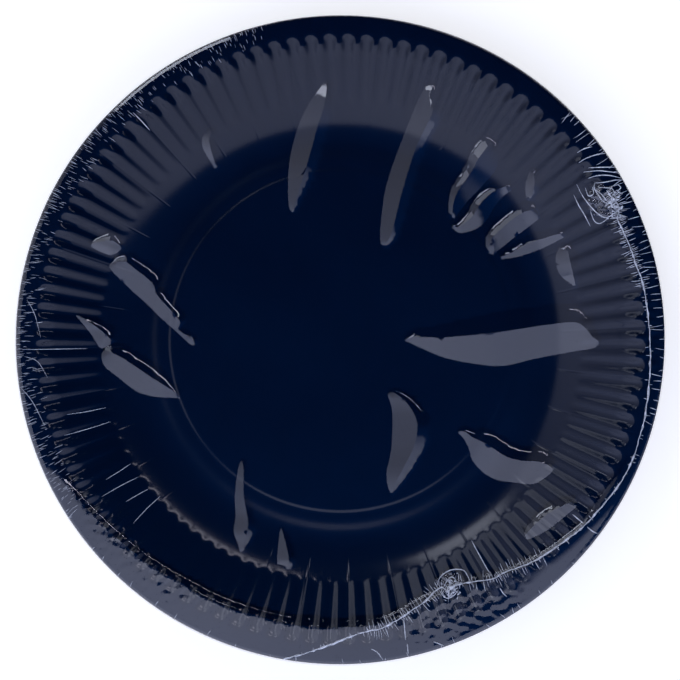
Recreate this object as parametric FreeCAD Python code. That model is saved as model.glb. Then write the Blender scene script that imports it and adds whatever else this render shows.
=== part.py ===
import FreeCAD, Part
import math
import os

from FreeCAD import Vector

# A stack of round pressed paper plates, shrink-wrapped in clear film.
# Millimetres. The stack stands on Z = 0, its axis is Z, and +Y is the far side in the usual view.

# One plate
plate_radius = 115.0          # outer edge of the rim
board = 0.45                  # thickness of the pressed board, measured upright
panel_radius = 63.0           # raised panel in the middle
panel_rise = 0.6              # height of that panel above the foot
foot_inner_radius = 69.5      # the flat ring that the plate stands on starts here
foot_radius = 71.0            # and the wall starts here
shoulder_radius = 85.7        # the wall turns steeper here, and the flutes start
shoulder_rise = 3.3           # height of the wall there
groove_margin = 3.0           # the grooves between the flutes end this far inside the rim
rim_width = 6.5               # plain rim, from the top of the wall to the edge
rim_turn = 1.5                # outer part of the rim, which turns down more
wall_rise = 16.6              # from the foot to the top of the wall, underside
crest_drop = 0.1              # how far the rim has fallen at its crest
rim_drop = 0.5                # how far the rim has fallen at its edge
flutes = 100                  # flutes pressed round the wall
flute_depth = 0.9             # from the top of a flute to the bottom of its groove

# The stack
plates = 8
nest_gap = 0.35               # free height between one plate's flutes and the next plate
plain_sides = 38              # facets round the plates that lie hidden inside the stack

# The film
film = 0.2                    # thickness that the film is drawn with
film_gap = 0.3                # free space between the film and the rims
film_sides = 56               # facets round the film
vent_radius = 1.5             # air hole that the film shrinks through
vent_place = 30.0             # distance of the air hole from the axis

# Folds that stand up from the film's flat top. Each has the bearing of its outer tip, how far
# that tip lies inside the rim's crest, the bearing and radius of its inner tip, and the width of
# its broad flank, which is below zero where that flank lies left of the way inward.
folds = [
    (19.6, 17.4, 25.3, 36.5, 6.0),
    (357.3, 22.5, 339.8, 47.6, 6.4),
    (38.9, 25.9, 43.8, 59.0, -5.0),
    (58.1, 30.3, 61.7, 62.1, -5.0),
    (91.2, 21.5, 91.9, 23.8, -10.7),
    (121.7, 24.6, 128.4, 53.9, -7.0),
    (161.4, 55.7, 137.5, 25.7, -8.5),
    (204.5, 30.2, 218.2, 55.3, -4.6),
    (287.5, 27.7, 267.9, 50.9, 6.4),
    (267.0, 29.8, 249.7, 59.6, 5.3),
]
fold_slope = 0.24             # rise of a flank over its width, from its foot to the fold's crest
fold_back = 1.0               # width of a fold's back, where its flank is 1

# The film stands up in a ridge at the near side: bearings of its top, how far inside the rim's
# crest it runs, and its height
ridge = [
    (127, 4.6, 0.3), (137, 8.4, 0.8), (147, 12.8, 1.4), (155, 17.4, 1.8), (163, 15.5, 1.8),
    (172, 9.8, 1.5), (186, 11.0, 1.6), (200, 11.0, 1.4), (214, 8.0, 0.3),
]
ridge_foot = 0.9              # its outer foot runs this far inside the rim's crest
ridge_back = 3.0              # and its inner foot this far behind its top

# The weld that closes the film, in the same way. It runs along the ridge and then down its front.
weld = [(62.5, 10.9, 0.0), (75, 4.8, 0.0), (90, 3.1, 0.0), (105, 2.7, 0.0), (117, 2.7, 0.0)]
weld += ridge[:6] + [(186, 2.9, 0.3)]
weld_width = 0.9
weld_rise = 0.6
gathers = [weld[0], ridge[3]]  # the film's two corners, shrunk into puckers on the weld
gather_radius = 8.0           # reach of a pucker's pleats
pleat_radius = 4.0            # reach of the hollows between them
gather_rise = 1.8             # height of a pucker above the weld
pleats = 8                    # pleats of each pucker

# Worked out from the sizes above
rim_inner_radius = plate_radius - rim_width
rim_crest_radius = plate_radius - rim_turn
groove_end_radius = rim_inner_radius - groove_margin
wall_top = wall_rise - flute_depth / 2
nest_pitch = board + flute_depth / 2 + nest_gap
stack_rise = nest_pitch * (plates - 1)
film_top = film + wall_rise + stack_rise + board + film_gap + film
film_root = film_top - film / 2          # folds, weld and puckers are rooted inside the film


def flute_share(radius):
    """Where a radius lies between the shoulder, 0, and the top of the wall, 1."""
    return (radius - shoulder_radius) / (rim_inner_radius - shoulder_radius)


def ring(radius, height, sides, turn=0.0):
    """Corners of a level polygon round the axis, turned by a share of one side."""
    step = 2 * math.pi / sides
    angles = [(i + turn) * step for i in range(sides)]
    return [Vector(radius * math.cos(a), radius * math.sin(a), height) for a in angles]


def facet(*corners):
    return Part.Face(Part.makePolygon([*corners, corners[0]]))


def band(inner, outer):
    """Flat four-sided facets between two rings that have as many corners."""
    after = range(1, len(inner) + 1)
    return [facet(inner[i - 1], inner[i % len(inner)], outer[i % len(inner)], outer[i - 1]) for i in after]


def fluted_wall(start, groove_ends, top):
    """V-shaped flutes that start level with the lower wall and end in scoops under the rim."""
    faces = []
    for i, groove in enumerate(groove_ends):
        after = (i + 1) % len(start)
        faces.append(facet(start[i], start[after], groove))
        faces.append(facet(start[i], groove, top[i]))
        faces.append(facet(start[after], top[after], groove))
        faces.append(facet(groove, top[after], top[i]))
    return faces


def pressed_sheet(surface, edge):
    """A solid of the board's thickness from its underside and the corners of its outer edge."""
    lift = Vector(0, 0, board)
    upper = [face.translated(lift) for face in surface]
    side = band(edge, [corner + lift for corner in edge])
    return Part.makeSolid(Part.Shell(surface + upper + side))


def fluted_plate():
    """The plate in full: panel, foot ring, lower wall, flutes and turned-down rim."""
    panel = ring(panel_radius, panel_rise, flutes)
    foot_inner = ring(foot_inner_radius, 0, flutes)
    foot = ring(foot_radius, 0, flutes)
    shoulder = ring(shoulder_radius, shoulder_rise, flutes)
    groove_rise = (wall_rise - flute_depth - shoulder_rise) * flute_share(groove_end_radius)
    groove_ends = ring(groove_end_radius, shoulder_rise + groove_rise, flutes, turn=0.5)
    wall_end = ring(rim_inner_radius, wall_rise, flutes)
    crest = ring(rim_crest_radius, wall_rise - crest_drop, flutes)
    edge = ring(plate_radius, wall_rise - rim_drop, flutes)
    surface = [facet(*panel)]
    surface += band(panel, foot_inner)
    surface += band(foot_inner, foot)
    surface += band(foot, shoulder)
    surface += fluted_wall(shoulder, groove_ends, wall_end)
    surface += band(wall_end, crest)
    surface += band(crest, edge)
    return pressed_sheet(surface, edge)


def plain_plate():
    """A hidden plate, with the outline and section of the others and fewer facets."""
    foot = ring(foot_radius, 0, plain_sides)
    shoulder = ring(shoulder_radius, shoulder_rise, plain_sides)
    wall_end = ring(rim_inner_radius, wall_top, plain_sides)
    edge = ring(plate_radius, wall_rise - rim_drop, plain_sides)
    surface = [facet(*foot)] + band(foot, shoulder) + band(shoulder, wall_end) + band(wall_end, edge)
    return pressed_sheet(surface, edge)


def mitre(before, corner, after, grow):
    """A corner of an upright profile, moved outward by grow from both edges that meet in it."""
    normals = []
    for start, end in ((before, corner), (corner, after)):
        along = (end - start).normalize()
        normals.append(Vector(along.z, 0, -along.x))
    reach = grow / (1 + normals[0].dot(normals[1]))
    return corner + (normals[0] + normals[1]) * reach


def wrap(grow):
    """The closed form of the taut film, at a distance grow outside its inner face."""
    wrap_radius = plate_radius + film_gap
    lowest_edge = film + wall_rise - rim_drop
    profile = [
        Vector(0, 0, film),
        Vector(foot_radius + film_gap, 0, film),
        Vector(shoulder_radius, 0, film + shoulder_rise - film_gap),
        Vector(wrap_radius, 0, lowest_edge - film_gap),
        Vector(wrap_radius, 0, lowest_edge + stack_rise + board + film_gap),
        Vector(rim_crest_radius, 0, film_top - film),
        Vector(0, 0, film_top - film),
    ]
    widen = 1 / math.cos(math.pi / film_sides)
    corners = [mitre(*three, grow) for three in zip(profile, profile[1:], profile[2:])]
    rings = [ring(corner.x * widen, corner.z, film_sides) for corner in corners]
    faces = [facet(*rings[0]), facet(*rings[-1])]
    for lower, upper in zip(rings, rings[1:]):
        faces += band(lower, upper)
    return Part.makeSolid(Part.Shell(faces))


def place(bearing, radius, height):
    """A point from its bearing, clockwise from the far side, its radius and its height."""
    turn = math.radians(bearing)
    return Vector(radius * math.sin(turn), radius * math.cos(turn), height)


def closed(*faces):
    return Part.makeSolid(Part.Shell([facet(*face) for face in faces]))


def fold(outer_bearing, inset, inner_bearing, inner_radius, flank):
    """A raised fold with a broad flank and a back: two tips, a foot on each side and a crest."""
    outer = place(outer_bearing, rim_crest_radius - inset, film_root)
    inner = place(inner_bearing, inner_radius, film_root)
    middle = (outer + inner) / 2
    inward = (inner - outer).normalize()
    right = Vector(inward.y, -inward.x, 0)
    low = middle + right * (flank / 2)
    back = middle - right * (flank / 2 + flank * fold_back)
    crest = middle - right * (flank / 2) + Vector(0, 0, abs(flank) * fold_slope)
    sides = [(outer, low, crest), (low, inner, crest), (inner, back, crest), (back, outer, crest)]
    return closed((outer, low, inner, back), *sides)


def bar(rows):
    """A closed bar with a three-cornered section, through the corners of its rows."""
    faces = [rows[0], rows[-1]]
    for near, far in zip(rows, rows[1:]):
        for i in range(3):
            after = (i + 1) % 3
            faces.append((near[i], near[after], far[after]))
            faces.append((near[i], far[after], far[i]))
    return closed(*faces)


def film_ridge():
    """The ridge that the taut film makes between the weld and the rim."""
    rows = []
    for bearing, inset, rise in ridge:
        outer_foot = place(bearing, rim_crest_radius - ridge_foot, film_root)
        top = place(bearing, rim_crest_radius - inset, film_root + rise)
        inner_foot = place(bearing, rim_crest_radius - inset - ridge_back, film_root)
        rows.append((outer_foot, top, inner_foot))
    return bar(rows)


def weld_bead():
    """The weld, a low bead that follows the rim, the puckers and the ridge."""
    line = [place(bearing, rim_crest_radius - inset, film_root + rise) for bearing, inset, rise in weld]
    rows = []
    for i, point in enumerate(line):
        along = (line[min(i + 1, len(line) - 1)] - line[max(i - 1, 0)]).normalize()
        across = Vector(along.y, -along.x, 0) * (weld_width / 2)
        rows.append((point - across, point + across, point + Vector(0, 0, weld_rise)))
    return bar(rows)


def gather(bearing, inset, rise):
    """A pucker: pleats that run together into a point."""
    middle = place(bearing, rim_crest_radius - inset, film_root)
    crest = middle + Vector(0, 0, rise + gather_rise)
    ends = ring(gather_radius, 0, pleats)
    hollows = ring(pleat_radius, 0, pleats, turn=0.5)
    star = [middle + corner for pair in zip(ends, hollows) for corner in pair]
    sides = [(star[i - 1], star[i], crest) for i in range(len(star))]
    return closed(star, *sides)


def shrink_film():
    """A thin skin drawn tight over the rims and under the foot, with folds, a weld and an air hole."""
    raised = [fold(*sizes) for sizes in folds] + [film_ridge()]
    hollow = [shape.translated(Vector(0, 0, -film)) for shape in raised]
    vent = Part.makeCylinder(vent_radius, 3 * film, Vector(vent_place, 0, -film))
    skin = wrap(film).fuse(raised).cut(wrap(0).fuse(hollow)).cut(vent)
    return skin.fuse([weld_bead()] + [gather(*where) for where in gathers]).removeSplitter()


nodes = {"shrink_film": shrink_film()}
for number in range(1, plates + 1):
    in_sight = number in (1, plates)
    plate = fluted_plate() if in_sight else plain_plate()
    plate.translate(Vector(0, 0, film + nest_pitch * (number - 1)))
    nodes[f"plate_{number}"] = plate

os.makedirs("parts", exist_ok=True)
for name, shape in nodes.items():
    shape.exportStep(f"parts/{name}.step")
    print(name, "solids", len(shape.Solids), "valid", shape.isValid(), "cm3", round(shape.Volume / 1000, 3))
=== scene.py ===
import math
import random

import bpy
import numpy as np
from mathutils import Matrix, Vector
from mathutils.geometry import delaunay_2d_cdt


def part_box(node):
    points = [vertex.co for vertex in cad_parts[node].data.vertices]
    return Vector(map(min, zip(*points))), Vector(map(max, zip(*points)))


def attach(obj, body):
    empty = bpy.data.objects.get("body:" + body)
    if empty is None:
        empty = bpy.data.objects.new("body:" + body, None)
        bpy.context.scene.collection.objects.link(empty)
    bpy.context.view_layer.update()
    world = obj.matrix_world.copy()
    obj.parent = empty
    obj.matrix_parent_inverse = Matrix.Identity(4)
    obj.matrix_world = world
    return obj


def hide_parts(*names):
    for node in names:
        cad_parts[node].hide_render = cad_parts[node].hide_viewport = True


# A stack of round pressed paper plates, shrink-wrapped in clear film.
# Sizes are in millimetres and are turned to metres where a mesh is made.
# Places round the plate are in degrees clockwise from its far side (+Y), as seen from above.

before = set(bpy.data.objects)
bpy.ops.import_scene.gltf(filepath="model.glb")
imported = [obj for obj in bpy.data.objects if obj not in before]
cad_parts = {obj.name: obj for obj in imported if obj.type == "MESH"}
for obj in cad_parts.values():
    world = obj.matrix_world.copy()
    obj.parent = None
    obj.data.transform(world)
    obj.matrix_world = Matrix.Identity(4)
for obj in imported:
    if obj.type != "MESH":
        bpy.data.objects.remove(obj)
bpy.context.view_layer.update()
MM = 0.001

# The plate's section, from the axis outward
PLATES = 8
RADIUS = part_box("plate_8")[1].x / MM
BOARD = 0.45
PANEL_RADIUS = 61.9
PANEL_ROUND_IN = 1.0
PANEL_ROUND_OUT = 0.9
PANEL_RISE = 0.85
PANEL_STEP = 0.25
RING_INNER = 64.3
RING_OUTER = 70.6
FOOT_RADIUS = 70.8
SHOULDER_RADIUS = 85.7
WALL_RISE = 16.6
WALL_STEP = 0.05
CUT_EDGE = 0.06
SLOPE_RADII = (FOOT_RADIUS, 74.0, 77.9, 81.0, SHOULDER_RADIUS, 87.5, 102.6, 106.2, 113.6, 114.5, 115.1)
SLOPES = (0.0, 5.5, 11.5, 16.0, 22.5, 34.0, 34.0, 2.0, -1.0, -8.0, -30.0)

# The flutes: their width is a share of the pitch, and their floor a share of that width
FLUTES = 100
FLUTE_INNER = 85.2
FLUTE_OUTER = 109.3
FLUTE_HALF = 0.46
FLUTE_FLOOR = 0.12
SCOOP_INNER = 102.0
SCOOP_SLOPE = math.tan(math.radians(20.0))
DEPTH_RADII = (FLUTE_INNER, 88.6, SCOOP_INNER)
DEPTHS = (0.0, 0.38, 0.8)

# Score lines across the wall
CREASE_STEP = 10
CREASE_FIRST = 8
CREASE_DEPTH = 0.10
CREASE_INNER = 78.4

# Corners round a ring of a plate: on its plain parts, on its fluted wall, and on the faces that the next
# plate hides, which have more from one radius outward
PLAIN_CORNERS = 400
TOP_CORNERS = 2000
UNDER_CORNERS = 1200
COARSE_PLAIN = 100
COARSE_FLUTED = 800
COARSE_FLUTED_FROM = 80

# The film, and how it rolls over the rim
FILM_GAP = 0.3
FILM_SHEET = 0.2
FILM_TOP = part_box("plate_8")[1].z / MM + FILM_GAP + FILM_SHEET
FILM_INSET = 0.05
FILM_RADIUS = 115.6
FILM_FLAT = 113.4
FILM_SAG = 1.1
ROLL_RADII = (FILM_FLAT, 114.3, 114.9, 115.3, FILM_RADIUS)
ROLL_DROPS = (0.0, 0.17, 0.55, 1.15, 2.2)
ROLL_PUCKERS = (0.02, 0.04, 0.05, 0.04)
SIDE_DROP = 0.7
SIDE_SHARES = (0, 0.25, 0.5, 0.75, 1)
FILM_CORNERS = 1024
UNDER_FILM_CORNERS = 256

# The film's underside: where its cone starts, how far it stands off the lowest plate's shoulder and foot,
# and the inmost ring of its flat
CONE_RADIUS = 115.2
OFF_SHOULDER = 0.3
UNDER_SHOULDER = 0.1
OFF_FOOT = 0.5
HEEL_LIFT = 0.03
FLAT_EDGE = 1
FLAT_MIDDLE = 30

# The loose grid of corners in the film's flat, and the seeds of what is scattered
GRID_STEP = 0.45
GRID_SHAKE = 0.12
GRID_MARGIN = 0.6
GRID_SEED = 11
PUCKER_SEED = 3
KNOT_SEED = 31
WRINKLE_SEED = 17

# The photograph's frame: the middle of the stack's outline, and what a pixel measures on it
OUTLINE_X = 339.2
OUTLINE_Y = 338.75
OUTLINE_RADIUS = 323.5
PIXEL = 0.3555
PHOTO_SIDE = 680


def spot(x, y):
    """A place on the top of the stack, from a pixel of the photograph."""
    return np.array([(x - OUTLINE_X) * PIXEL, (OUTLINE_Y - y) * PIXEL])


def smooth(low, high, value):
    share = np.clip((value - low) / (high - low), 0.0, 1.0)
    return share * share * (3 - 2 * share)


def heading(degrees):
    turn = math.radians(degrees)
    return np.array([math.sin(turn), math.cos(turn)])


def place(degrees, radius):
    return heading(degrees) * radius


def bearings(points):
    return np.degrees(np.arctan2(points[:, 0], points[:, 1])) % 360


# Meshes


class Net:
    """Corners and faces of one mesh, put together ring by ring."""

    def __init__(self):
        self.blocks = []
        self.count = 0
        self.faces = []
        self.sharp = set()

    def add(self, points):
        points = np.asarray(points, float).reshape(-1, 3)
        self.blocks.append(points)
        start = self.count
        self.count += len(points)
        return np.arange(start, self.count)

    def bridge(self, before, after):
        """Faces between two closed rings; the longer one has a whole number of times as many corners."""
        if len(before) <= len(after):
            share = len(after) // len(before)
            for i in range(len(before)):
                far = [after[(share * i + k) % len(after)] for k in range(share + 1)]
                self.faces.append((before[i], *far, before[(i + 1) % len(before)]))
        else:
            share = len(before) // len(after)
            for i in range(len(after)):
                near = [before[(share * i + k) % len(before)] for k in range(share, 0, -1)]
                self.faces.append((before[share * i], after[i], after[(i + 1) % len(after)], *near))

    def cap(self, loop, centre, up):
        middle = self.add([centre])[0]
        for i in range(len(loop)):
            pair = (loop[i], loop[(i + 1) % len(loop)])
            self.faces.append((middle, *pair) if up else (middle, *pair[::-1]))

    def crease(self, loop):
        """Keep the edges of a closed loop sharp."""
        for i in range(len(loop)):
            self.sharp.add(tuple(sorted((int(loop[i - 1]), int(loop[i])))))

    def object(self, name, material, node_name):
        mesh = bpy.data.meshes.new(name)
        points = np.concatenate(self.blocks) * MM
        faces = [tuple(int(i) for i in face) for face in self.faces]
        mesh.from_pydata(points.tolist(), [], faces)
        mesh.polygons.foreach_set("use_smooth", np.ones(len(mesh.polygons), bool))
        for edge in mesh.edges:
            if tuple(sorted(edge.vertices)) in self.sharp:
                edge.use_edge_sharp = True
        mesh.materials.append(material)
        mesh.update()
        piece = bpy.data.objects.new(name, mesh)
        bpy.context.scene.collection.objects.link(piece)
        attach(piece, "root")
        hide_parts(node_name)
        return piece


def turn_of(segments):
    return np.arange(segments) * (2 * math.pi / segments)


def on_ring(radius, turn, height):
    return np.column_stack([radius * np.cos(turn), radius * np.sin(turn), height + 0 * turn])


# Plates


def wall_profile():
    """Radii and heights of the plate's underside from the foot outward, along the ridges."""
    radii = np.arange(FOOT_RADIUS, RADIUS + WALL_STEP, WALL_STEP)
    slope = np.tan(np.radians(np.interp(radii, SLOPE_RADII, SLOPES)))
    heights = np.concatenate([[0.0], np.cumsum((slope[1:] + slope[:-1]) / 2 * WALL_STEP)])
    heights *= WALL_RISE / heights.max()
    return radii, heights


WALL_RADII, WALL_HEIGHTS = wall_profile()


def profile(radius):
    """Height of the plate's underside at a radius, along the ridges."""
    radius = np.asarray(radius, float)
    level = PANEL_RISE - PANEL_STEP
    edge = smooth(PANEL_RADIUS - PANEL_ROUND_IN, PANEL_RADIUS + PANEL_ROUND_OUT, radius)
    panel = PANEL_RISE - PANEL_STEP * edge
    ring = level * (1 - smooth(RING_INNER, RING_OUTER, radius))
    wall = np.interp(radius, WALL_RADII, WALL_HEIGHTS)
    return np.where(radius < RING_INNER, panel, np.where(radius < FOOT_RADIUS, ring, wall))


def groove(radius, turn):
    """Depth below the ridges: channels that start in a point and end in round scoops at the rim."""
    pitch = 2 * math.pi / FLUTES * radius
    across = ((turn / (2 * math.pi) * FLUTES) % 1.0 - 0.5) * pitch
    half = FLUTE_HALF * pitch
    beyond = radius - np.clip(radius, FLUTE_INNER + half, FLUTE_OUTER - half)
    away = np.hypot(across, beyond) / half
    shape = 1 - smooth(FLUTE_FLOOR, 1.0, away)
    depth = np.interp(radius, DEPTH_RADII, DEPTHS)
    if radius > SCOOP_INNER:
        floor = WALL_RISE - (FLUTE_OUTER - radius) * SCOOP_SLOPE
        depth = max(0.0, profile(radius) - floor)
    return depth * shape


def creases(radius, segments):
    """Score lines that the press leaves across the wall, one corner of the mesh wide."""
    marks = np.zeros(segments)
    if CREASE_INNER <= radius <= FLUTE_OUTER:
        for degrees in range(CREASE_FIRST, 360, CREASE_STEP):
            marks[int(round((90 - degrees) % 360 / 360 * segments)) % segments] = CREASE_DEPTH
    return marks


def plate_ring(base, radius, segments, lift, scored):
    turn = turn_of(segments)
    height = base + profile(radius) + lift - groove(radius, turn)
    if scored:
        height = height - creases(radius, segments)
    return on_ring(radius, turn, height)


def fine_rings(fluted_corners):
    """Radii and corners of the rings on a side of a plate that shows."""
    plain = [4, 25, 45, 58, 60.6, 61.0, 61.4, 61.8, 62.2, 62.6, 63, 64.2, 65, 66, 67, 68, 69, 70, 70.8]
    plain += [71.6, 72.6, 73.8, 75.2, 76.8]
    fluted = list(np.linspace(78.4, 84.2, 5)) + [85.2, 85.8, 86.5, 87.3, 88.2, 89.4, 91, 93, 95, 97, 99]
    fluted += list(np.linspace(100.4, 109.4, 15))
    rim = [110.2, 111.5, 113, 113.9, 114.5, RADIUS - CUT_EDGE, RADIUS]
    found = [(radius, PLAIN_CORNERS) for radius in plain]
    found += [(radius, fluted_corners) for radius in fluted]
    return found + [(radius, PLAIN_CORNERS) for radius in rim]


def coarse_rings():
    """Radii and corners of the rings on a side of a plate that is hidden by the next one."""
    radii = [4, 40, 61, 62.8, 65.5, 68, 70.8, 74, 78, 82, 85.4, 88.4, 94, 99, 102, 104, 106, 107.8, 109.4]
    radii += [113, 114.4, RADIUS - CUT_EDGE, RADIUS]
    return [(r, COARSE_PLAIN if r < COARSE_FLUTED_FROM else COARSE_FLUTED) for r in radii]


def plate(number, material):
    """One plate: its upper face, cut edge and underside as one closed mesh."""
    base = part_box(f"plate_{number}")[0].z / MM
    top = fine_rings(TOP_CORNERS) if number == PLATES else coarse_rings()
    under = fine_rings(UNDER_CORNERS) if number == 1 else coarse_rings()
    net = Net()
    last = None
    for lift, rings in ((BOARD, top), (0.0, under[::-1])):
        for radius, segments in rings:
            scored = segments >= UNDER_CORNERS
            loop = net.add(plate_ring(base, radius, segments, lift, scored))
            if last is None:
                net.cap(loop, (0, 0, base + profile(0.0) + lift), True)
            else:
                net.bridge(last, loop)
            last = loop
    net.cap(last, (0, 0, base + profile(0.0)), False)
    return net.object(f"paper_plate_{number}", material, f"plate_{number}")


# Film folds, with the bearing that each flank faces. The first are leaves: a middle line and the widths
# along it. The others are outlines.
FOLD_SPINES = {
    "A": ([(430, 84), (425, 110), (410, 145), (395, 190), (387, 232), (383, 246)],
          [4, 18, 16, 17, 12, 3], 286),
    "B": ([(327, 83), (318, 105), (308, 130), (299, 165), (293, 200), (293, 213)],
          [3, 15, 19, 18, 8, 2], 285),
    "B2": ([(211, 131), (206, 143), (216, 168)], [3, 8, 2], 280),
    "C": ([(494, 147), (488, 165), (478, 180), (462, 200), (454, 219)], [8, 20, 17, 13, 3], 150),
    "C2": ([(532, 172), (530, 187), (528, 202)], [3, 9, 3], 270),
    "D": ([(512, 190), (500, 195), (488, 207), (478, 222), (462, 231), (454, 229)],
          [4, 9, 13, 13, 7, 2], 155),
    "E": ([(538, 215), (525, 222), (510, 233), (497, 245), (493, 256)], [10, 15, 15, 13, 3], 150),
    "F": ([(565, 236), (548, 243), (530, 250), (515, 256), (500, 260)], [4, 8, 9, 6, 2], 160),
    "G": ([(563, 250), (562, 262), (566, 275), (574, 287)], [8, 14, 12, 2], 262),
    "K": ([(575, 502), (555, 515), (540, 526), (525, 537)], [6, 12, 12, 5], 150),
}
FOLD_OUTLINES = {
    "H": ([(406, 341), (416, 338), (446, 338.5), (496, 334), (546, 326.5), (571, 324), (581, 327),
           (591, 338), (598, 344), (591, 350), (571, 353), (534, 360), (503, 367), (476, 365),
           (446, 359), (426, 351), (413, 345)], 181),
    "I": ([(458, 433), (465, 432), (473, 438), (486, 444), (506, 457), (524, 461), (539, 462), (552, 470),
           (535, 483), (518, 483), (491, 478), (473, 462), (469, 449), (463, 438)], 205),
    "J": ([(388, 392), (393, 413), (392, 449), (387, 474), (391, 493), (396, 483), (405, 466), (415, 445),
           (418, 425), (412, 410), (402, 398)], 268),
    "M": ([(243, 461), (245, 470), (245, 493), (247, 506), (250, 524), (246, 541), (242, 552), (239, 542),
           (235, 532), (237, 516), (236, 499), (239, 470)], 271),
    "N": ([(282, 528), (286, 539), (290, 556), (289, 564), (279, 563), (279, 549)], 268),
    "P": ([(91, 246), (100, 242), (113, 241), (121, 247), (120, 251), (112, 255), (103, 253)], 190),
    "Q": ([(109, 266), (124, 262), (138, 271), (154, 284), (157, 294), (167, 306), (181, 322), (179, 330),
           (189, 337), (196, 344), (191, 345), (177, 332), (162, 319), (148, 305), (127, 286)], 222),
    "R": ([(76, 315), (94, 325), (112, 341), (102, 349), (94, 338), (84, 325)], 216),
    "S": ([(104, 351), (121, 357), (132, 364), (153, 378), (182, 397), (170, 398), (154, 397), (138, 392),
           (119, 378), (104, 365)], 210),
}

# The slope of a fold's flank, and how many times as steep it falls behind its crest
FOLD_SLOPE = math.tan(math.radians(14.0))
FOLD_BACK = 2.0

# The ridge along the near side: bearing, radius and height of its crest. The first share of its outer
# fall is even, and the rest grows outward.
RIDGE = [
    (112, 110.5, 0.0), (119, 109.6, 0.75), (127, 108.9, 1.0), (137, 105.5, 1.5), (147, 100.7, 1.8),
    (155, 96.1, 2.3), (163, 98.0, 2.5), (170, 101.4, 2.2), (180, 101.6, 2.2), (196, 101.8, 2.2),
    (212, 102.4, 2.3), (224, 104.6, 2.1), (233, 106.7, 1.5), (241, 109.0, 0.9), (250, 111.0, 0.0),
]
RIDGE_FOOT = 113.4
RIDGE_BACK = 1.7
RIDGE_FIRST = 0.7

# The weld: places on the photograph
WELD = [
    (606, 193), (610.8, 199.8), (616.5, 206.5), (618, 215), (616.5, 220.8), (621.3, 231.3),
    (624.2, 238), (629, 249.5), (631.9, 258), (635.7, 269.6), (640.5, 282), (643.3, 296.4), (646, 315),
    (648, 340), (648, 365), (646.5, 390), (642, 420), (637, 438), (631, 458), (619, 481), (602, 503),
    (583, 524), (568, 536), (541, 555), (520, 565), (503, 571), (492, 577), (472, 580), (454, 584),
    (448, 589), (440, 586), (428, 597), (411, 609), (399, 617), (383, 625.7), (371, 628.3),
    (356, 632.6), (330, 643), (308, 651), (285, 657),
]
WELD_SHAKE = 0.12
WELD_WIDTHS = (0.3, 0.38, 0.46, 0.55, 0.9)
WELD_HEIGHT = 0.3
PUCKERED_WITHIN = 34

# The two knots where the weld's ends shrank: place, reach and height, and the middle of the white threads
KNOTS = [((603, 203), 8.0, 0.8), ((452, 583), 7.0, 0.8)]
KNOT_CORE = 0.25
KNOT_PLEATS = 4.5
KNOT_CRUMPLES = (5, 1.6, 4.5)
THREAD_CENTRES = [(613, 204), (452, 587)]
THREADS = 46

# Where else the film is crumpled: the bearings between which it grows and fades, the radii between which
# it starts, and its share. All of it fades out towards the flat's edge.
CRUMPLED = [
    ((140, 152), (163, 172), (98, 102), 0.6),
    ((60, 70), (88, 110), (103, 107), 0.5),
    ((205, 216), (228, 242), (101, 106), 0.5),
]
CRUMPLED_UPTO = 111.5
BUSY_FROM = 0.05

# Waves and crumples: seed, how many, shortest and longest, and height. The waves fade out over the wall,
# and each wave starts at a phase of its own.
WAVES = (5, 9, 38, 80, 0.12)
WAVES_UPTO = (80, 107)
CRUMPLES = (23, 7, 2.6, 7.0, 0.16)
PHASES = (0, 6.3)

# Wrinkles in the film, each a line of places on the photograph; their white is partly painted glint on
# the crests
WRINKLES = [
    [(594.5, 185.4), (593.6, 190.2), (597.4, 196.9), (601.2, 202.6), (607, 206), (613, 205)],
    [(597.4, 190.2), (607, 190.2), (612.2, 192.1), (614, 199)],
    [(595, 192), (601, 197), (606, 203), (612, 207)],
    [(573.5, 196.9), (578.3, 207.4), (584, 217), (589.8, 228.5)],
    [(576.4, 186.4), (582.1, 197.8), (589.8, 208.4), (597.4, 216), (605.1, 219.9), (612.7, 216),
     (618.5, 211.2)],
    [(589.8, 213.2), (593.6, 222.7), (599.3, 225.6), (607, 220.8)],
    [(585, 190), (588, 198), (593, 196), (592, 189)],
    [(587.8, 170.1), (601.2, 169.6), (614.6, 169.6)],
    [(583, 174.4), (597.4, 173), (607, 173.9), (618.5, 175.4)],
    [(587.8, 180.6), (597.4, 177.8), (608.9, 177.8), (620.4, 180.6)],
    [(593.6, 185.4), (605, 184.4), (614.6, 182.5), (621.3, 182.5)],
    [(578.3, 165.3), (585.9, 160.5), (597.4, 156.7), (605, 155.7)],
    [(577, 155), (584, 151), (592, 149)],
    [(617, 187), (620, 190), (617, 194), (622, 196)],
    [(436.8, 586.1), (440.2, 575.8), (450.5, 568.9), (462.6, 568.9), (467.8, 575.8), (471.2, 582.7)],
    [(444, 584), (449, 577), (453, 576), (457, 581)],
    [(440, 590), (446, 596), (453, 594), (458, 588)],
    [(404, 615.4), (405, 626), (405.8, 637.8)],
    [(407.5, 641.2), (408.4, 651.5)],
    [(371.3, 646.4), (378, 650), (383.4, 657.6)],
    [(433.3, 639.5), (438, 641), (443.7, 643.8)],
    [(471.2, 539.6), (480, 556), (490.2, 574)],
    [(498.8, 586.1), (502, 591), (505.7, 594.7)],
    [(571, 513.8), (576, 518), (581.4, 522.4)],
    [(584.9, 525.8), (590, 530), (595.2, 532.7)],
    [(133, 112), (141, 120), (150, 130)],
]
WRINKLE_WIDTH = 0.42
WRINKLE_HEIGHT = 0.2
THREAD_SINK = 0.04
WHISKER_BEND = 0.14
WHISKER_INSET = 0.15
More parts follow.
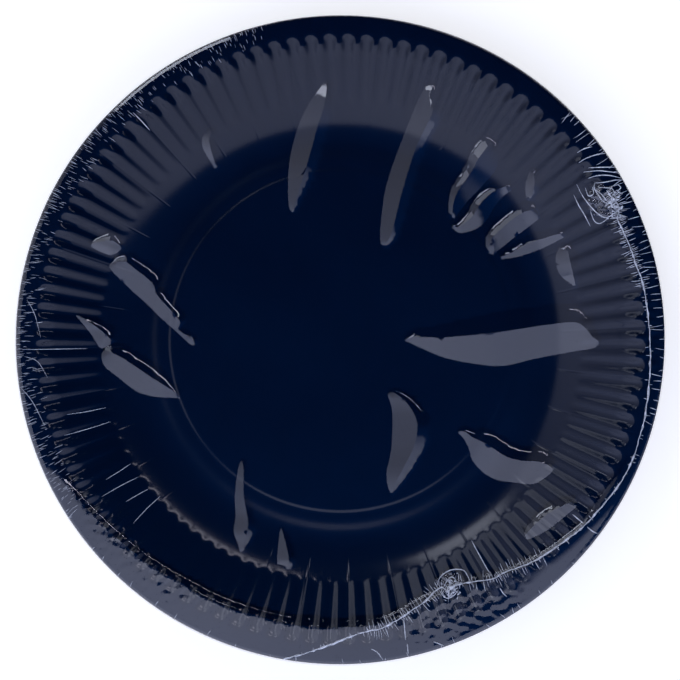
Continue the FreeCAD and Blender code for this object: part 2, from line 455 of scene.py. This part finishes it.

# Finer ones at the left; some of them are painted glints
FINE_WRINKLES_AND_GLINT_STROKES = [
    [(26, 350), (55, 349.5), (88, 349)],
    [(27, 300), (35, 315), (41, 338)],
    [(25, 357), (38, 362), (48, 378)],
    [(21, 388), (33, 402), (46, 427)],
    # From here on, painted highlights: white strokes that stand in for the glints at the flutes' inner
    # ends
    [(68, 415), (88, 412), (107, 408)],
    [(65, 436), (90, 429), (112, 422)],
    [(107, 480), (120, 472), (132, 464)],
    [(103, 497), (122, 486), (140, 477)],
    [(127, 502), (139, 495), (150, 489)],
    [(135, 523), (148, 509), (162, 496)],
]
FINE_WIDTH = 0.24

# Pleats over the rim: the bearings between which they stand
LEFT_PLEATS = (236.0, 346)
LONG_PLEATS_UPTO = 322
RIGHT_PLEATS = (44.0, 104)
NEAR_PLEATS = (128.0, 236)
PLEAT_RADIUS = 115.2
PLEAT_OUTER = 115.3
PLEAT_SPREAD = 7.0


def curve(points, steps, closed):
    """Points along a smooth curve through the given ones."""
    points = np.asarray(points, float)
    count = len(points)
    spans = count if closed else count - 1
    found = []
    for i in range(spans):
        if closed:
            a, b, c, d = (points[(i + k) % count] for k in (-1, 0, 1, 2))
        else:
            a, b, c, d = (points[min(max(i + k, 0), count - 1)] for k in (-1, 0, 1, 2))
        for k in range(steps):
            t = k / steps
            found.append(0.5 * (2 * b + (c - a) * t + (2 * a - 5 * b + 4 * c - d) * t * t
                                + (3 * b - 3 * c + d - a) * t ** 3))
    if not closed:
        found.append(points[-1])
    return np.array(found)


def trail(pixels, steps):
    return curve([spot(x, y) for x, y in pixels], steps, False)


def fold_outline(spine, widths):
    """Both sides of a leaf-shaped fold, from its middle line and its widths."""
    line = np.array([spot(x, y) for x, y in spine])
    rows = curve(np.column_stack([line, np.array(widths) * PIXEL / 2]), 4, False)
    line, half = rows[:, :2], rows[:, 2]
    along = np.gradient(line, axis=0)
    along /= np.linalg.norm(along, axis=1)[:, None]
    side = np.column_stack([-along[:, 1], along[:, 0]]) * half[:, None]
    return np.concatenate([line + side, (line - side)[::-1]])


def folds():
    """Outline and downhill direction of every fold."""
    found = []
    for spine, widths, facing in FOLD_SPINES.values():
        found.append((fold_outline(spine, widths), heading(facing)))
    for outline, facing in FOLD_OUTLINES.values():
        found.append((curve([spot(x, y) for x, y in outline], 3, True), heading(facing)))
    return found


FOLDS = folds()


def chains(outline, across, up):
    """Lower and upper boundary of an outline, seen with one direction as up."""
    u = outline @ across
    v = outline @ up
    first = int(np.argmin(u))
    last = int(np.argmax(u))
    count = len(outline)
    one = [(first + k) % count for k in range((last - first) % count + 1)]
    two = [(first - k) % count for k in range((first - last) % count + 1)]
    if np.mean(v[one]) > np.mean(v[two]):
        one, two = two, one
    grid = np.linspace(u[first], u[last], 120)
    lower = np.interp(grid, np.maximum.accumulate(u[one]), v[one])
    upper = np.interp(grid, np.maximum.accumulate(u[two]), v[two])
    return grid, lower, np.maximum(lower, upper)


def fold_height(points, outline, facing):
    """A flank that rises away from the way it faces, and a steeper back behind its crest."""
    up = -facing
    across = np.array([up[1], -up[0]])
    grid, lower, upper = chains(outline, across, up)
    u = points @ across
    v = points @ up
    low = np.interp(u, grid, lower)
    high = np.interp(u, grid, upper)
    inside = (u > grid[0]) & (u < grid[-1])
    rise = np.minimum(v - low, high - low - (v - high) * FOLD_BACK) * FOLD_SLOPE
    return np.where(inside, np.maximum(rise, 0.0), 0.0)


# Film


def waves(points, seed, count, shortest, longest, height):
    """Soft unevenness as a sum of long waves."""
    rng = random.Random(seed)
    total = np.zeros(len(points))
    for _ in range(count):
        way = heading(rng.uniform(0, 360))
        turns = 2 * math.pi / rng.uniform(shortest, longest)
        total += np.sin(points @ way * turns + rng.uniform(*PHASES))
    return total * height / math.sqrt(count)


def crumples(points, seed, count, shortest, longest, height):
    """Creased facets as a sum of waves with sharp crests."""
    rng = random.Random(seed)
    total = np.zeros(len(points))
    for _ in range(count):
        way = heading(rng.uniform(0, 360))
        wave = np.sin(points @ way * math.pi / rng.uniform(shortest, longest) + rng.uniform(*PHASES))
        total += 1 - 2 * np.abs(wave)
    return total * height / math.sqrt(count)


def ridge_height(points):
    """The ridge along the near side, which rounds over to the rim and falls steeply inward."""
    radius = np.hypot(points[:, 0], points[:, 1])
    around = bearings(points)
    rows = np.array(RIDGE)
    crest = np.interp(around, rows[:, 0], rows[:, 1])
    height = np.interp(around, rows[:, 0], rows[:, 2], 0.0, 0.0)
    out = (radius - crest) / (RIDGE_FOOT - crest)
    outside = height * (1 - RIDGE_FIRST * out - (1 - RIDGE_FIRST) * out ** 2)
    inside = height * (1 - (crest - radius) / RIDGE_BACK)
    return np.maximum(np.minimum(outside, inside), 0.0)


def knot_height(points):
    """Crumpled film round each knot, with pleats that run out from it."""
    total = np.zeros(len(points))
    for number, (middle, reach, height) in enumerate(KNOTS):
        offset = points - spot(*middle)
        away = np.hypot(offset[:, 0], offset[:, 1])
        share = 1 - smooth(KNOT_CORE * reach, reach, away)
        turn = np.arctan2(offset[:, 1], offset[:, 0])
        star = np.abs(np.sin(turn * KNOT_PLEATS + np.sin(turn * 2) + number)) - 0.5
        fine = crumples(points, KNOT_SEED + number, *KNOT_CRUMPLES, height * 0.6)
        total += share * (height + height * 0.7 * star + fine)
    return total


def crumpled_share(points):
    """How crumpled the film is."""
    radius = np.hypot(points[:, 0], points[:, 1])
    around = bearings(points)
    total = np.zeros(len(points))
    for grows, fades, starts, share in CRUMPLED:
        total += smooth(*grows, around) * (1 - smooth(*fades, around)) * smooth(*starts, radius) * share
    return total * (1 - smooth(CRUMPLED_UPTO, FILM_FLAT, radius))


def film_height(points):
    """Height of the taut film over the plate, with its folds and wrinkles."""
    radius = np.hypot(points[:, 0], points[:, 1])
    flat = points * np.minimum(1.0, FILM_FLAT / np.maximum(radius, 1e-6))[:, None]
    within = np.minimum(radius, FILM_FLAT)
    uneven = waves(flat, *WAVES) * (1 - smooth(*WAVES_UPTO, within))
    lift = np.maximum(ridge_height(flat), knot_height(flat))
    for outline, facing in FOLDS:
        lift = np.maximum(lift, fold_height(flat, outline, facing))
    crumple = crumples(flat, *CRUMPLES) * crumpled_share(flat)
    drop = FILM_SAG * (1 - (within / FILM_FLAT) ** 2) + np.interp(radius, ROLL_RADII, ROLL_DROPS)
    return FILM_TOP - FILM_INSET - drop + uneven + lift + crumple


def scatter():
    """Corners inside the film's flat, on a loose grid that is finer where the film is crumpled."""
    rng = random.Random(GRID_SEED)
    cells = np.arange(int(2 * FILM_FLAT / GRID_STEP)) * GRID_STEP - FILM_FLAT
    grid = np.array([(x, y) for y in cells for x in cells])
    grid = grid[np.hypot(grid[:, 0], grid[:, 1]) < FILM_FLAT - GRID_MARGIN]
    knotted = np.zeros(len(grid), bool)
    for middle, reach, _ in KNOTS:
        offset = grid - spot(*middle)
        knotted |= np.hypot(offset[:, 0], offset[:, 1]) < reach + 1
    column = np.round((grid[:, 0] + FILM_FLAT) / GRID_STEP).astype(int)
    row = np.round((grid[:, 1] + FILM_FLAT) / GRID_STEP).astype(int)
    busy = (crumpled_share(grid) > BUSY_FROM) | (ridge_height(grid) > BUSY_FROM)
    busy &= (column % 2 == row // 2 % 2) & (row % 2 == 0)
    plain = (column % 3 == 0) & (row % 3 == 0)
    found = []
    for corner in grid[knotted | busy | plain]:
        found.append([value + rng.uniform(-GRID_SHAKE, GRID_SHAKE) for value in corner])
    return found


def film_flat(net):
    """The flat of the film, meshed so that the folds keep their sharp edges. Returns its outer loop."""
    rim = on_ring(FILM_FLAT, turn_of(FILM_CORNERS), 0)[:, :2]
    points = [Vector(p) for p in rim]
    edges = [(i, (i + 1) % FILM_CORNERS) for i in range(FILM_CORNERS)]
    ridge = curve([place(b, r) for b, r, _ in RIDGE], 8, False)
    ridge = ridge[np.hypot(ridge[:, 0], ridge[:, 1]) < FILM_FLAT - 1]
    start = len(points)
    points += [Vector(p) for p in ridge]
    edges += [(start + i, start + i + 1) for i in range(len(ridge) - 1)]
    for outline, _ in FOLDS:
        start = len(points)
        count = len(outline)
        points += [Vector(p) for p in outline]
        edges += [(start + i, start + (i + 1) % count) for i in range(count)]
    points += [Vector(p) for p in scatter()]
    made, pairs, faces, origin, pair_origin, _ = delaunay_2d_cdt(points, edges, [], 1, 1e-4)
    flat = np.array([tuple(p) for p in made])
    index = net.add(np.column_stack([flat, film_height(flat)]))
    net.faces += [tuple(index[i] for i in face) for face in faces]
    for pair, sources in zip(pairs, pair_origin):
        if sources:
            net.sharp.add(tuple(sorted((int(index[pair[0]]), int(index[pair[1]])))))
    where = {}
    for new, sources in enumerate(origin):
        for source in sources:
            where[source] = new
    return np.array([index[where[i]] for i in range(FILM_CORNERS)])


def film(material):
    """One closed bag drawn over the stack: flat top, rolled edge, upright side, cone and underside."""
    net = Net()
    last = film_flat(net)
    turn = turn_of(FILM_CORNERS)
    puckers = np.random.default_rng(PUCKER_SEED).uniform(-1, 1, FILM_CORNERS)
    for radius, pucker in zip(ROLL_RADII[1:], ROLL_PUCKERS):
        ring = on_ring(radius, turn, 0)
        ring[:, 2] = film_height(ring[:, :2]) + pucker * puckers
        loop = net.add(ring)
        net.bridge(last, loop)
        last = loop
        if radius == ROLL_RADII[1]:
            net.crease(loop)
    high = FILM_TOP - ROLL_DROPS[-1] - SIDE_DROP
    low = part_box("plate_1")[0].z / MM + float(profile(RADIUS)) - FILM_GAP
    shoulder = float(profile(SHOULDER_RADIUS)) - UNDER_SHOULDER
    rings = [(FILM_RADIUS, high + (low - high) * share, FILM_CORNERS) for share in SIDE_SHARES]
    under = [(CONE_RADIUS, low - SIDE_DROP), (SHOULDER_RADIUS + OFF_SHOULDER, shoulder)]
    under += [(FOOT_RADIUS + OFF_FOOT, HEEL_LIFT), (FOOT_RADIUS - FLAT_EDGE, 0.0), (FLAT_MIDDLE, 0.0)]
    rings += [(radius, height, UNDER_FILM_CORNERS) for radius, height in under]
    for radius, height, segments in rings:
        loop = net.add(on_ring(radius, turn_of(segments), height))
        net.bridge(last, loop)
        last = loop
    net.cap(last, (0, 0, 0), False)
    return net.object("clear_film", material, "shrink_film")


def thread(net, line, widths, height):
    """A low three-sided ridge of film along a line, as wide as each of its widths."""
    along = np.gradient(line, axis=0)
    along /= np.maximum(np.linalg.norm(along, axis=1), 1e-6)[:, None]
    side = np.column_stack([-along[:, 1], along[:, 0]]) * (np.asarray(widths) / 2)[:, None]
    level = film_height(line)
    left = net.add(np.column_stack([line + side, level - THREAD_SINK]))
    right = net.add(np.column_stack([line - side, level - THREAD_SINK]))
    crest = net.add(np.column_stack([line, level + height]))
    for i in range(len(line) - 1):
        for a, b in ((left, crest), (crest, right), (right, left)):
            net.faces.append((a[i], a[i + 1], b[i + 1], b[i]))
    net.faces.append((left[0], crest[0], right[0]))
    net.faces.append((right[-1], crest[-1], left[-1]))


def tapered(count, width):
    return width * (0.12 + 0.88 * np.sin(np.linspace(0.05, math.pi - 0.05, count)) ** 0.7)


def whisker(net, rng, start, way, length, width, height):
    """A short wrinkle that bends a little as it runs out."""
    across = np.array([-way[1], way[0]]) * rng.uniform(-WHISKER_BEND, WHISKER_BEND)
    share = np.linspace(0, 1, 5)
    line = start + np.outer(share, way) * length + np.outer(share ** 2, across) * length
    radius = np.hypot(line[:, 0], line[:, 1])
    line *= np.minimum(1.0, (FILM_RADIUS - WHISKER_INSET) / radius)[:, None]
    thread(net, line, tapered(len(line), width), height)


def weld(net, rng):
    """The weld's thin bead with its nodules, and the fine wrinkles that stand off it on both sides."""
    line = trail(WELD, 6)
    line = line + np.array([[rng.uniform(-WELD_SHAKE, WELD_SHAKE) for _ in range(2)] for _ in line])
    thread(net, line, [rng.choice(WELD_WIDTHS) for _ in line], WELD_HEIGHT)
    knots = [spot(*middle) for middle, _, _ in KNOTS]
    for i in range(1, len(line) - 1):
        along = line[i + 1] - line[i - 1]
        way = np.array([-along[1], along[0]]) / max(np.linalg.norm(along), 1e-6)
        puckered = min(np.linalg.norm(line[i] - knot) for knot in knots) < PUCKERED_WITHIN
        chance = 0.85 if puckered else 0.25
        for side in (-1, 1):
            if rng.random() < chance:
                length = rng.uniform(1.0, 4.2) if puckered else rng.uniform(0.6, 1.8)
                whisker(net, rng, line[i], way * side, length, rng.uniform(0.16, 0.3), 0.14)


def knots(net, rng):
    """The crumples at the weld's ends: short crossing threads, whose white is partly the film's clouding
    and partly painted glint.
    """
    for centre in THREAD_CENTRES:
        for _ in range(THREADS):
            start = spot(*centre) + np.array([rng.gauss(0, 1.3), rng.gauss(0, 2.0)])
            way = heading(rng.uniform(0, 360))
            whisker(net, rng, start, way, rng.uniform(0.5, 1.5), rng.uniform(0.3, 0.9), 0.3)


def rim_pleats(net, rng):
    """Fine pleats where the film turns over the rim: dense on the left, long at the upper right."""
    degrees, last = LEFT_PLEATS
    while degrees < last:
        degrees += rng.uniform(0.10, 0.50)
        outer = PLEAT_OUTER - PLEAT_SPREAD * rng.random() ** 1.8
        length = rng.uniform(1.2, 3.8) if degrees < LONG_PLEATS_UPTO else rng.uniform(0.8, 2.4)
        way = -heading(degrees + rng.uniform(-9, -1))
        whisker(net, rng, place(degrees, outer), way, length, rng.uniform(0.08, 0.20), 0.10)
    degrees, last = RIGHT_PLEATS
    while degrees < last:
        degrees += rng.uniform(0.5, 2.0)
        start = place(degrees, PLEAT_RADIUS)
        way = -heading(degrees + rng.uniform(-16, 16))
        whisker(net, rng, start, way, rng.uniform(1.5, 6.5), rng.uniform(0.16, 0.32), 0.16)
    degrees, last = NEAR_PLEATS
    while degrees < last:
        degrees += rng.uniform(1.5, 7.0)
        start = place(degrees, PLEAT_RADIUS)
        way = -heading(degrees + rng.uniform(-20, 20))
        whisker(net, rng, start, way, rng.uniform(1, 3), 0.2, 0.12)


def wrinkles(material):
    """The weld, its knots and the sharp wrinkles of the film, drawn whitish: partly the weld's real
    clouding, partly painted glints on their crests.
    """
    net = Net()
    rng = random.Random(WRINKLE_SEED)
    weld(net, rng)
    knots(net, rng)
    rim_pleats(net, rng)
    for group, width in ((WRINKLES, WRINKLE_WIDTH), (FINE_WRINKLES_AND_GLINT_STROKES, FINE_WIDTH)):
        for pixels in group:
            line = trail(pixels, 5)
            thread(net, line, tapered(len(line), width), WRINKLE_HEIGHT)
    return net.object("film_wrinkles_with_painted_glints", material, "shrink_film")


# Materials

# How much the film mirrors when it is seen straight on, and how fast that grows toward grazing
FILM_MIRROR = 0.077
FILM_GRAZING = 4.2


def nodes_of(name):
    material = bpy.data.materials.new(name)
    material.use_nodes = True
    tree = material.node_tree
    tree.nodes.clear()
    return material, tree


def node(tree, kind, **values):
    made = tree.nodes.new(kind)
    for key, value in values.items():
        setattr(made, key, value)
    return made


def math_node(tree, operation, first, second):
    """One operation on two values, each a number or another node's output."""
    made = node(tree, "ShaderNodeMath", operation=operation)
    for socket, value in zip(made.inputs, (first, second)):
        if isinstance(value, (int, float)):
            socket.default_value = value
        else:
            tree.links.new(value, socket)
    return made.outputs[0]


def navy_paper():
    """Dark blue printed board under a thin gloss coating, with a faint fibre unevenness."""
    material, tree = nodes_of("navy_coated_paper")
    output = node(tree, "ShaderNodeOutputMaterial")
    shader = node(tree, "ShaderNodeBsdfPrincipled")
    place_on = node(tree, "ShaderNodeTexCoord")
    cloud = node(tree, "ShaderNodeTexNoise")
    cloud.inputs["Scale"].default_value = 140
    cloud.inputs["Detail"].default_value = 5
    ramp = node(tree, "ShaderNodeValToRGB")
    ramp.color_ramp.elements[0].color = (0.0001, 0.0036, 0.0165, 1)
    ramp.color_ramp.elements[1].color = (0.0002, 0.0054, 0.0240, 1)
    fibre = node(tree, "ShaderNodeTexNoise")
    fibre.inputs["Scale"].default_value = 1500
    fibre.inputs["Detail"].default_value = 3
    bump = node(tree, "ShaderNodeBump")
    bump.inputs["Strength"].default_value = 0.05
    bump.inputs["Distance"].default_value = 0.0002
    tree.links.new(place_on.outputs["Object"], cloud.inputs["Vector"])
    tree.links.new(place_on.outputs["Object"], fibre.inputs["Vector"])
    tree.links.new(cloud.outputs["Fac"], ramp.inputs["Fac"])
    tree.links.new(ramp.outputs["Color"], shader.inputs["Base Color"])
    tree.links.new(fibre.outputs["Fac"], bump.inputs["Height"])
    tree.links.new(bump.outputs["Normal"], shader.inputs["Normal"])
    shader.inputs["Roughness"].default_value = 0.14
    shader.inputs["IOR"].default_value = 1.5
    tree.links.new(shader.outputs["BSDF"], output.inputs["Surface"])
    return material


def clear_film():
    """Clear film that shows what is behind it and mirrors as two thin surfaces do."""
    material, tree = nodes_of("clear_shrink_film")
    output = node(tree, "ShaderNodeOutputMaterial")
    clear = node(tree, "ShaderNodeBsdfTransparent")
    clear.inputs["Color"].default_value = (0.985, 0.985, 0.985, 1)
    gloss = node(tree, "ShaderNodeBsdfGlossy")
    gloss.inputs["Roughness"].default_value = 0.03
    gloss.inputs["Color"].default_value = (1, 1, 1, 1)
    facing = node(tree, "ShaderNodeLayerWeight")
    facing.inputs["Blend"].default_value = 0.5
    grazing = math_node(tree, "POWER", facing.outputs["Facing"], FILM_GRAZING)
    share = node(tree, "ShaderNodeMapRange")
    share.inputs["To Min"].default_value = FILM_MIRROR
    share.inputs["To Max"].default_value = 1.0
    mix = node(tree, "ShaderNodeMixShader")
    tree.links.new(grazing, share.inputs["Value"])
    tree.links.new(share.outputs["Result"], mix.inputs["Fac"])
    tree.links.new(clear.outputs["BSDF"], mix.inputs[1])
    tree.links.new(gloss.outputs["BSDF"], mix.inputs[2])
    tree.links.new(mix.outputs["Shader"], output.inputs["Surface"])
    return material


def clouded_film_with_painted_glints():
    """Whitish film, patchy along its length: partly the weld's real clouding, partly painted glints that
    stand in for the light the wrinkles' crests catch.
    """
    material, tree = nodes_of("clouded_shrink_film_with_painted_glints")
    output = node(tree, "ShaderNodeOutputMaterial")
    clear = node(tree, "ShaderNodeBsdfTransparent")
    shader = node(tree, "ShaderNodeBsdfPrincipled")
    # Painted highlight: this whitish colour makes the wrinkles and pleats look lit under any lamp, on top
    # of the weld's real clouding.
    shader.inputs["Base Color"].default_value = (0.86, 0.90, 0.97, 1)
    shader.inputs["Roughness"].default_value = 0.25
    place_on = node(tree, "ShaderNodeTexCoord")
    patches = node(tree, "ShaderNodeTexNoise")
    patches.inputs["Scale"].default_value = 700
    patches.inputs["Detail"].default_value = 2
    share = node(tree, "ShaderNodeMapRange")
    share.inputs["From Min"].default_value = 0.35
    share.inputs["From Max"].default_value = 0.65
    share.inputs["To Min"].default_value = 0.4
    share.inputs["To Max"].default_value = 1.0
    mix = node(tree, "ShaderNodeMixShader")
    tree.links.new(place_on.outputs["Object"], patches.inputs["Vector"])
    tree.links.new(patches.outputs["Fac"], share.inputs["Value"])
    tree.links.new(share.outputs["Result"], mix.inputs["Fac"])
    tree.links.new(clear.outputs["BSDF"], mix.inputs[1])
    tree.links.new(shader.outputs["BSDF"], mix.inputs[2])
    tree.links.new(mix.outputs["Shader"], output.inputs["Surface"])
    return material


# Surroundings

FLOOR_SIDE = 3.0
FLOOR_DROP = 0.0002
FLOOR_GLOW = 0.6

# Lamps: name, bearing, angle from upright, width, height, radiance and colour
LAMP_DISTANCE = 1.6
LAMPS = [
    ("north_east_strip", 29, 40, 0.8, 0.12, 4.5, (1.0, 0.96, 1.12)),
    ("north_west_window", 327, 36.5, 0.36, 0.26, 3.4, (0.93, 0.98, 1.15)),
    ("north_west_low", 327, 61, 0.95, 0.75, 1.1, (0.93, 0.98, 1.15)),
]
OVERHEAD_FILL = ("overhead_fill", 0, 0, 2.4, 2.4, 0.3, (1.0, 1.0, 1.0))

# How bright the studio is round the horizon: bearing and share
ROUND_THE_ROOM = [
    (0, 0.0), (92, 0.04), (105, 0.3), (120, 0.62), (135, 0.84), (150, 0.86), (180, 0.90), (210, 1.02),
    (228, 0.98), (255, 0.8), (270, 0.6), (285, 0.5), (300, 0.36), (318, 0.08), (330, 0.0),
]
# And how bright it is at a height above the horizon, from its sine
UP_THE_ROOM = [(0.0, 1.0), (0.35, 1.1), (0.77, 1.05), (0.92, 1.0), (1.0, 0.85)]
ROOM_COLOUR = (0.95, 0.99, 1.24, 1)

# The straight inner edges of the light, as tangents from upright, and how softly they end
SOUTH_EDGE = 0.31
WEST_EDGE = 0.44
EDGE_BEFORE = -0.03
EDGE_BEYOND = 0.04

# The dim space overhead, from its north side, where it is black, to its south side
OVERHEAD_COLOUR = (0.002, 0.03, 0.13, 1)
OVERHEAD_NORTH = 0.18
OVERHEAD_SOUTH = -0.25
OVERHEAD_STRENGTH = 1.6

# The camera
LENS = 120.0
SENSOR = 36.0
CAMERA_TILT = 3.5
CAMERA_BEARING = 135
CAMERA_AIM = 0.0185


def floor():
    """Plain white floor that keeps the stack's shadow."""
    mesh = bpy.data.meshes.new("floor")
    side = FLOOR_SIDE
    corners = [(-side, -side, 0), (side, -side, 0), (side, side, 0), (-side, side, 0)]
    mesh.from_pydata(corners, [], [(0, 1, 2, 3)])
    piece = bpy.data.objects.new("floor", mesh)
    bpy.context.scene.collection.objects.link(piece)
    piece.location.z = -FLOOR_DROP
    material, tree = nodes_of("pale_floor")
    output = node(tree, "ShaderNodeOutputMaterial")
    paint = node(tree, "ShaderNodeBsdfDiffuse")
    paint.inputs["Color"].default_value = (0.8, 0.8, 0.8, 1)
    glow = node(tree, "ShaderNodeEmission")
    glow.inputs["Color"].default_value = (1, 1, 1, 1)
    rays = node(tree, "ShaderNodeLightPath")
    seen = math_node(tree, "MAXIMUM", rays.outputs["Is Camera Ray"], rays.outputs["Is Glossy Ray"])
    seen = math_node(tree, "MAXIMUM", seen, rays.outputs["Is Transmission Ray"])
    tree.links.new(math_node(tree, "MULTIPLY", seen, FLOOR_GLOW), glow.inputs["Strength"])
    total = node(tree, "ShaderNodeAddShader")
    tree.links.new(paint.outputs["BSDF"], total.inputs[0])
    tree.links.new(glow.outputs["Emission"], total.inputs[1])
    tree.links.new(total.outputs["Shader"], output.inputs["Surface"])
    mesh.materials.append(material)


def softbox(name, degrees, from_upright, wide, tall, radiance, colour):
    """A flat panel of light that faces the stack from a bearing and an angle from upright."""
    tilt = math.radians(from_upright)
    way = heading(degrees) * math.sin(tilt)
    data = bpy.data.lights.new(name, "AREA")
    data.shape = "RECTANGLE"
    data.size = wide
    data.size_y = tall
    data.color = colour
    data.energy = radiance * math.pi * wide * tall
    lamp = bpy.data.objects.new(name, data)
    bpy.context.scene.collection.objects.link(lamp)
    lamp.location = Vector((way[0], way[1], math.cos(tilt))) * LAMP_DISTANCE
    back = lamp.location.normalized()
    right = Vector((0, 0, 1)).cross(back)
    right = right.normalized() if right.length > 0.01 else Vector((1, 0, 0))
    up = back.cross(right)
    lamp.rotation_mode = "QUATERNION"
    lamp.rotation_quaternion = Matrix((right, up, back)).transposed().to_quaternion()
    lamp.visible_camera = False
    return lamp


def ramp_of(tree, stops, value):
    """A grey ramp; each stop has a position and a brightness."""
    ramp = node(tree, "ShaderNodeValToRGB")
    elements = ramp.color_ramp.elements
    while len(elements) < len(stops):
        elements.new(0.5)
    for element, (position, grey) in zip(elements, sorted(stops)):
        element.position = position
        element.color = (grey, grey, grey, 1)
    tree.links.new(value, ramp.inputs["Fac"])
    return ramp.outputs["Color"]


def light_edge(tree, towards, upward, tangent):
    """1 beyond the light's straight inner edge on one side, 0 before it."""
    away = math_node(tree, "MULTIPLY", towards, -1.0)
    past = math_node(tree, "SUBTRACT", away, math_node(tree, "MULTIPLY", upward, tangent))
    made = node(tree, "ShaderNodeMapRange", interpolation_type="SMOOTHSTEP")
    made.inputs["From Min"].default_value = EDGE_BEFORE
    made.inputs["From Max"].default_value = EDGE_BEYOND
    tree.links.new(past, made.inputs["Value"])
    return made.outputs["Result"]


def room_light(tree, east, north, upward):
    """How bright the wide light to the south and west is in each direction."""
    swapped = node(tree, "ShaderNodeCombineXYZ")
    tree.links.new(north, swapped.inputs["X"])
    tree.links.new(east, swapped.inputs["Y"])
    around = node(tree, "ShaderNodeTexGradient", gradient_type="RADIAL")
    tree.links.new(swapped.outputs[0], around.inputs["Vector"])
    stops = [((degrees / 360 + 0.5) % 1.0, grey) for degrees, grey in ROUND_THE_ROOM]
    stops.append((1.0, dict(ROUND_THE_ROOM)[180]))
    by_bearing = ramp_of(tree, stops, around.outputs["Fac"])
    by_height = ramp_of(tree, UP_THE_ROOM, upward)
    south = light_edge(tree, north, upward, SOUTH_EDGE)
    west = light_edge(tree, east, upward, WEST_EDGE)
    inside = math_node(tree, "MAXIMUM", south, west)
    return math_node(tree, "MULTIPLY", inside, math_node(tree, "MULTIPLY", by_bearing, by_height))


def surroundings():
    """A studio with a wide soft light to the south and west that leaves the space overhead dim."""
    world = bpy.data.worlds.new("studio")
    bpy.context.scene.world = world
    world.use_nodes = True
    tree = world.node_tree
    tree.nodes.clear()
    output = node(tree, "ShaderNodeOutputWorld")
    way = node(tree, "ShaderNodeTexCoord")
    parts = node(tree, "ShaderNodeSeparateXYZ")
    tree.links.new(way.outputs["Generated"], parts.inputs[0])
    east, north, upward = (parts.outputs[axis] for axis in "XYZ")
    light = node(tree, "ShaderNodeBackground")
    light.inputs["Color"].default_value = ROOM_COLOUR
    tree.links.new(room_light(tree, east, north, upward), light.inputs["Strength"])
    dim = node(tree, "ShaderNodeBackground")
    dim.inputs["Color"].default_value = OVERHEAD_COLOUR
    southward = node(tree, "ShaderNodeMapRange")
    southward.inputs["From Min"].default_value = OVERHEAD_NORTH
    southward.inputs["From Max"].default_value = OVERHEAD_SOUTH
    southward.inputs["To Max"].default_value = OVERHEAD_STRENGTH
    tree.links.new(north, southward.inputs["Value"])
    tree.links.new(southward.outputs["Result"], dim.inputs["Strength"])
    lit = node(tree, "ShaderNodeAddShader")
    tree.links.new(light.outputs[0], lit.inputs[0])
    tree.links.new(dim.outputs[0], lit.inputs[1])
    white = node(tree, "ShaderNodeBackground")
    white.inputs["Color"].default_value = (1, 1, 1, 1)
    rays = node(tree, "ShaderNodeLightPath")
    mix = node(tree, "ShaderNodeMixShader")
    tree.links.new(rays.outputs["Is Camera Ray"], mix.inputs["Fac"])
    tree.links.new(lit.outputs[0], mix.inputs[1])
    tree.links.new(white.outputs[0], mix.inputs[2])
    tree.links.new(mix.outputs[0], output.inputs["Surface"])


def camera():
    """Almost straight above, from a little way off towards the near right."""
    tilt = math.radians(CAMERA_TILT)
    middle = Vector((0.0, 0.0, CAMERA_AIM))
    width = 2 * FILM_RADIUS * MM * PHOTO_SIDE / (2 * OUTLINE_RADIUS)
    distance = width * LENS / SENSOR
    way = heading(CAMERA_BEARING) * math.sin(tilt)
    data = bpy.data.cameras.new("camera")
    data.lens = LENS
    data.sensor_width = SENSOR
    made = bpy.data.objects.new("camera", data)
    bpy.context.scene.collection.objects.link(made)
    made.location = middle + Vector((way[0], way[1], math.cos(tilt))) * distance
    forward = (middle - made.location).normalized()
    right = forward.cross(Vector((0, 1, 0))).normalized()
    up = right.cross(forward)
    made.rotation_mode = "QUATERNION"
    made.rotation_quaternion = Matrix((right, up, -forward)).transposed().to_quaternion()
    data.shift_x = (PHOTO_SIDE / 2 - OUTLINE_X) / PHOTO_SIDE
    data.shift_y = (OUTLINE_Y - PHOTO_SIDE / 2) / PHOTO_SIDE
    bpy.context.scene.camera = made


paper = navy_paper()
for number in range(1, PLATES + 1):
    plate(number, paper)
film(clear_film())
wrinkles(clouded_film_with_painted_glints())
floor()
surroundings()
for lamp in LAMPS:
    softbox(*lamp)
softbox(*OVERHEAD_FILL).visible_glossy = False
camera()
bpy.context.scene.view_settings.view_transform = "Standard"
